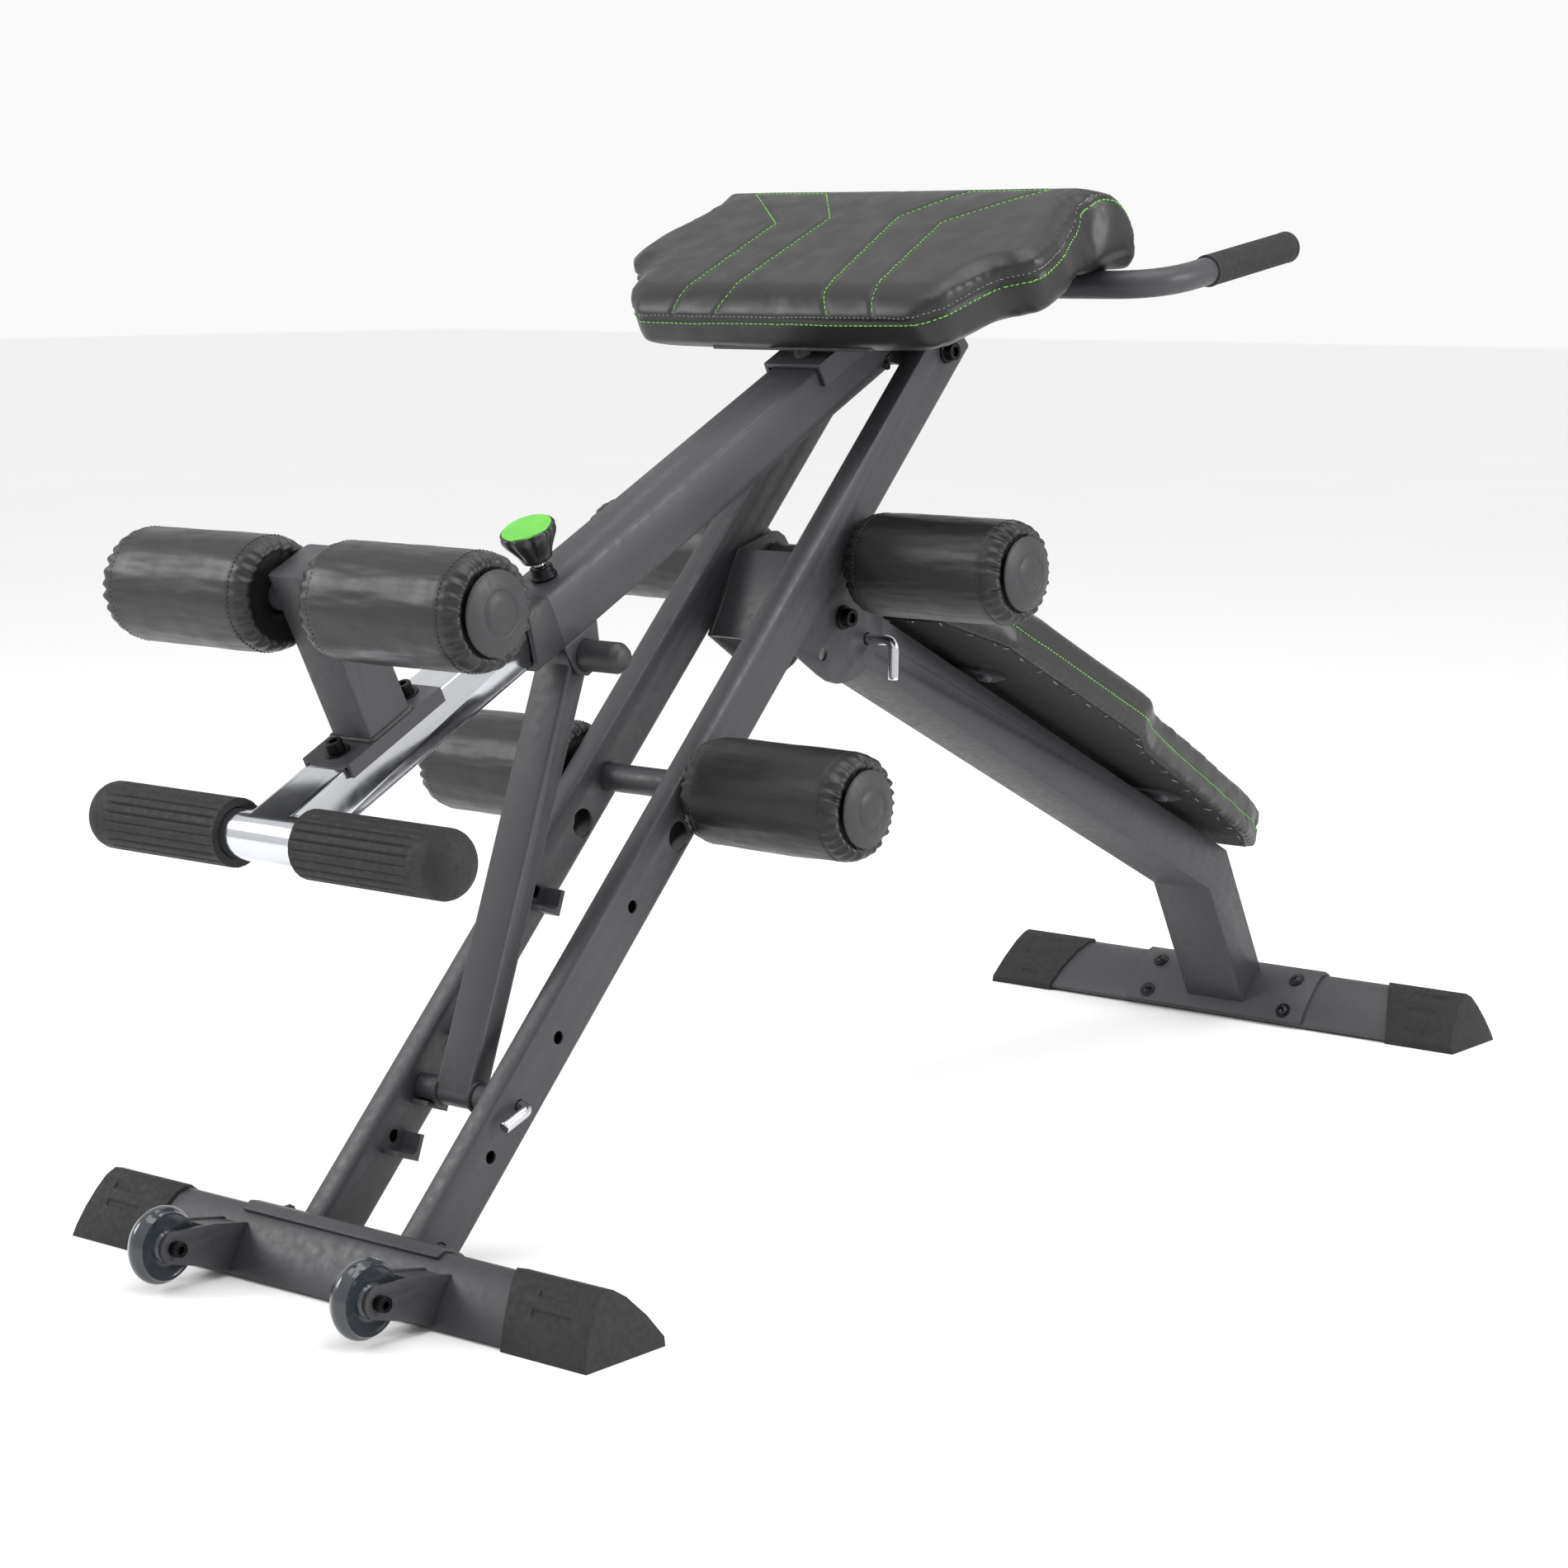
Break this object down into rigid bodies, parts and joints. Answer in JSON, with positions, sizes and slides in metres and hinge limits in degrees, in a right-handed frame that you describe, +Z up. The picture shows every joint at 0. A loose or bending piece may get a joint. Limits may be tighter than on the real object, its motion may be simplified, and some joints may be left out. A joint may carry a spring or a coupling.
{
  "type": "decline sit up bench",
  "caption": "Folding decline sit up and back extension bench: leaning twin rail mast, tilting beam with hip pad and foot slide, rear beam with back pad, foam rollers, transport wheels.",
  "frame": {"origin": "on the floor in the plane of symmetry, midway between the front of the transport wheels and the back of the rear foot", "axes": "+Z up, +Y from the front foot to the rear foot, +X to the right seen from the front"},
  "size_m": [0.66, 1.7, 0.989],
  "materials": {
    "frame_coat": "fine textured matte powder coat, dark charcoal",
    "black_steel": "satin black oxide",
    "chrome": "polished chrome plate",
    "rubber": "matte moulded rubber",
    "plastic": "fine textured moulded plastic",
    "vinyl": "satin grained upholstery vinyl",
    "roller_vinyl": "satin grained vinyl over foam",
    "accent": "satin green",
    "wheel": "glossy dark polyurethane"
  },
  "bodies": {
    "mast": {"front_foot_tube": "frame_coat", "front_foot_cap_left": "rubber", "front_foot_cap_right": "rubber", "front_saddle_plate": "frame_coat", "mast_rail_left": "frame_coat", "mast_rail_right": "frame_coat", "fold_ear_left": "frame_coat", "fold_ear_right": "frame_coat", "ear_cross_plate": "frame_coat", "lower_roller_axle": "frame_coat", "lower_roller_cap_left": "plastic", "lower_roller_cap_right": "plastic", "upper_roller_axle": "frame_coat", "upper_roller_cap_left": "plastic", "upper_roller_cap_right": "plastic", "top_pivot_bolt": "black_steel", "fold_pivot_bolt": "black_steel", "wheel_fork_left": "frame_coat", "wheel_fork_right": "frame_coat", "wheel_bolt_left": "black_steel", "wheel_bolt_right": "black_steel"},
    "beam": {"main_beam": "frame_coat", "beam_bush": "plastic", "knob_collar": "black_steel", "hip_pad": "vinyl", "hip_pad_bracket": "frame_coat", "handlebar": "frame_coat", "hand_grip_left": "rubber", "hand_grip_right": "rubber", "prop_pivot_rod": "plastic"},
    "knob": {"slide_knob": "plastic", "knob_disc": "accent"},
    "prop": {"prop_strut": "frame_coat"},
    "slide": {"slide_tube": "chrome", "foot_grip_left": "rubber", "foot_grip_right": "rubber", "roller_post": "frame_coat", "foot_roller_axle": "frame_coat", "foot_roller_cap_left": "plastic", "foot_roller_cap_right": "plastic"},
    "rear": {"rear_beam": "frame_coat", "rear_saddle_plate": "frame_coat", "rear_foot_tube": "frame_coat", "rear_foot_cap_left": "rubber", "rear_foot_cap_right": "rubber", "back_pad": "vinyl", "back_pad_bracket_1": "frame_coat", "back_pad_bracket_2": "frame_coat"},
    "hook_pin": {"hook_lock_pin": "chrome"},
    "fold_pin": {"fold_lock_pin": "chrome"},
    "lower_roller_left_body": {"lower_roller_left": "roller_vinyl"},
    "lower_roller_right_body": {"lower_roller_right": "roller_vinyl"},
    "upper_roller_left_body": {"upper_roller_left": "roller_vinyl"},
    "upper_roller_right_body": {"upper_roller_right": "roller_vinyl"},
    "foot_roller_left_body": {"foot_roller_left": "roller_vinyl"},
    "foot_roller_right_body": {"foot_roller_right": "roller_vinyl"},
    "wheel_left_body": {"transport_wheel_left": "wheel"},
    "wheel_right_body": {"transport_wheel_right": "wheel"}
  },
  "joints": [
    {"name": "beam_tilt", "type": "hinge", "parent": "mast", "child": "beam", "pos_m": [0, 0.08953, 0.82467], "axis": [-1, 0, 0], "range_deg": [0, 19.4]},
    {"name": "prop_swing", "type": "hinge", "parent": "beam", "child": "prop", "pos_m": [0, -0.41331, 0.55128], "axis": [-1, 0, 0], "range_deg": [0, 35]},
    {"name": "foot_slide", "type": "slide", "parent": "beam", "child": "slide", "axis": [0, -0.8949, -0.4462], "range_m": [-0.08, 0.08]},
    {"name": "knob_pull", "type": "slide", "parent": "beam", "child": "knob", "axis": [0, -0.4462, 0.8949], "range_m": [0, 0.008], "stiffness_N_per_m": 800, "springref_m": -0.004},
    {"name": "rear_fold", "type": "hinge", "parent": "mast", "child": "rear", "pos_m": [0, -0.04856, 0.55895], "axis": [-1, 0, 0], "range_deg": [0, 101]},
    {"name": "hook_pin_pull", "type": "slide", "parent": "mast", "child": "hook_pin", "axis": [1, 0, 0], "range_m": [0, 0.06]},
    {"name": "fold_pin_pull", "type": "slide", "parent": "mast", "child": "fold_pin", "axis": [1, 0, 0], "range_m": [0, 0.05]},
    {"name": "lower_roller_left_spin", "type": "hinge", "parent": "mast", "child": "lower_roller_left_body", "pos_m": [-0.1745, -0.29652, 0.41481], "axis": [1, 0, 0], "continuous": true},
    {"name": "lower_roller_right_spin", "type": "hinge", "parent": "mast", "child": "lower_roller_right_body", "pos_m": [0.1745, -0.29652, 0.41481], "axis": [1, 0, 0], "continuous": true},
    {"name": "upper_roller_left_spin", "type": "hinge", "parent": "mast", "child": "upper_roller_left_body", "pos_m": [-0.1745, -0.04526, 0.61558], "axis": [1, 0, 0], "continuous": true},
    {"name": "upper_roller_right_spin", "type": "hinge", "parent": "mast", "child": "upper_roller_right_body", "pos_m": [0.1745, -0.04526, 0.61558], "axis": [1, 0, 0], "continuous": true},
    {"name": "foot_roller_left_spin", "type": "hinge", "parent": "slide", "child": "foot_roller_left_body", "pos_m": [-0.1265, -0.73804, 0.62884], "axis": [1, 0, 0], "continuous": true},
    {"name": "foot_roller_right_spin", "type": "hinge", "parent": "slide", "child": "foot_roller_right_body", "pos_m": [0.1265, -0.73804, 0.62884], "axis": [1, 0, 0], "continuous": true},
    {"name": "wheel_left_spin", "type": "hinge", "parent": "mast", "child": "wheel_left_body", "pos_m": [-0.13, -0.814, 0.0415], "axis": [1, 0, 0], "continuous": true},
    {"name": "wheel_right_spin", "type": "hinge", "parent": "mast", "child": "wheel_right_body", "pos_m": [0.13, -0.814, 0.0415], "axis": [1, 0, 0], "continuous": true}
  ]
}
